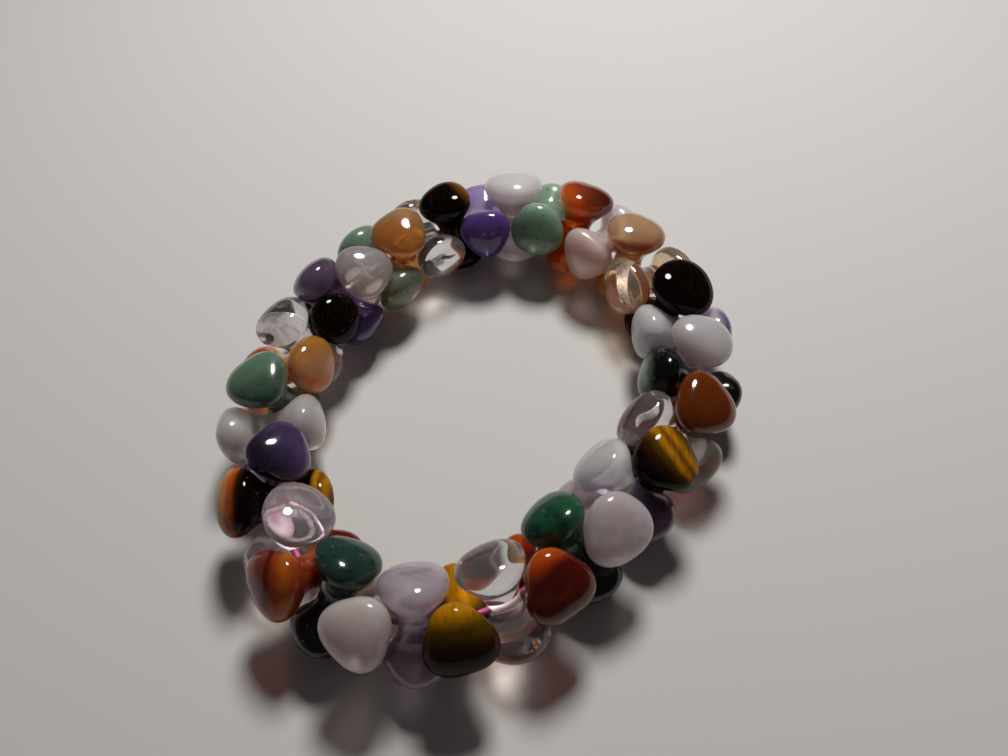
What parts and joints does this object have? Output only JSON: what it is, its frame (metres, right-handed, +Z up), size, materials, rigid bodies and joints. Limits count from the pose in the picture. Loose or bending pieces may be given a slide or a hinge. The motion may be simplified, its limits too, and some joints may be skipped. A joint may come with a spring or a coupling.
{
  "type": "beaded stretch bracelet",
  "caption": "Stretch bracelet of polished double-headed gemstone beads whose heads interlock crosswise, threaded through their waists on one deep pink elastic cord.",
  "frame": {"origin": "on the table, under the middle of the bracelet's outline", "axes": "+Z up from the table, along the way a wrist goes in; +Y away from the picture's viewer, +X to their right"},
  "size_m": [0.0683, 0.0752, 0.0139],
  "materials": {
    "rose_quartz": "polished milky pale pink quartz",
    "green_aventurine": "polished grey-green quartz with fine dark specks",
    "moss_agate": "polished dark green agate with pale threads and specks",
    "carnelian": "polished translucent orange-red chalcedony",
    "clear_quartz": "polished clear quartz with white veils",
    "tigers_eye": "polished silky brown and gold banded quartz",
    "amethyst": "polished violet quartz with paler chevron bands",
    "elastic_cord": "deep pink stretch cord, satin"
  },
  "bodies": {
    "root": {"bead_01_rose_quartz": "rose_quartz", "bead_02_green_aventurine": "green_aventurine", "bead_03_carnelian": "carnelian", "bead_04_rose_quartz": "rose_quartz", "bead_05_carnelian": "carnelian", "bead_06_clear_quartz": "clear_quartz", "bead_07_tigers_eye": "tigers_eye", "bead_08_amethyst": "amethyst", "bead_09_rose_quartz": "rose_quartz", "bead_10_moss_agate": "moss_agate", "bead_11_carnelian": "carnelian", "bead_12_clear_quartz": "clear_quartz", "bead_13_tigers_eye": "tigers_eye", "bead_14_amethyst": "amethyst", "bead_15_rose_quartz": "rose_quartz", "bead_16_moss_agate": "moss_agate", "bead_17_carnelian": "carnelian", "bead_18_clear_quartz": "clear_quartz", "bead_19_tigers_eye": "tigers_eye", "bead_20_amethyst": "amethyst", "bead_21_rose_quartz": "rose_quartz", "bead_22_moss_agate": "moss_agate", "bead_23_carnelian": "carnelian", "bead_24_clear_quartz": "clear_quartz", "bead_25_tigers_eye": "tigers_eye", "bead_26_amethyst": "amethyst", "bead_27_rose_quartz": "rose_quartz", "bead_28_green_aventurine": "green_aventurine", "bead_29_carnelian": "carnelian", "bead_30_clear_quartz": "clear_quartz", "bead_31_tigers_eye": "tigers_eye", "bead_32_amethyst": "amethyst", "bead_33_rose_quartz": "rose_quartz", "bead_34_green_aventurine": "green_aventurine", "bead_35_carnelian": "carnelian", "bead_36_clear_quartz": "clear_quartz", "bead_37_tigers_eye": "tigers_eye", "bead_38_amethyst": "amethyst", "elastic_cord": "elastic_cord"}
  },
  "joints": []
}
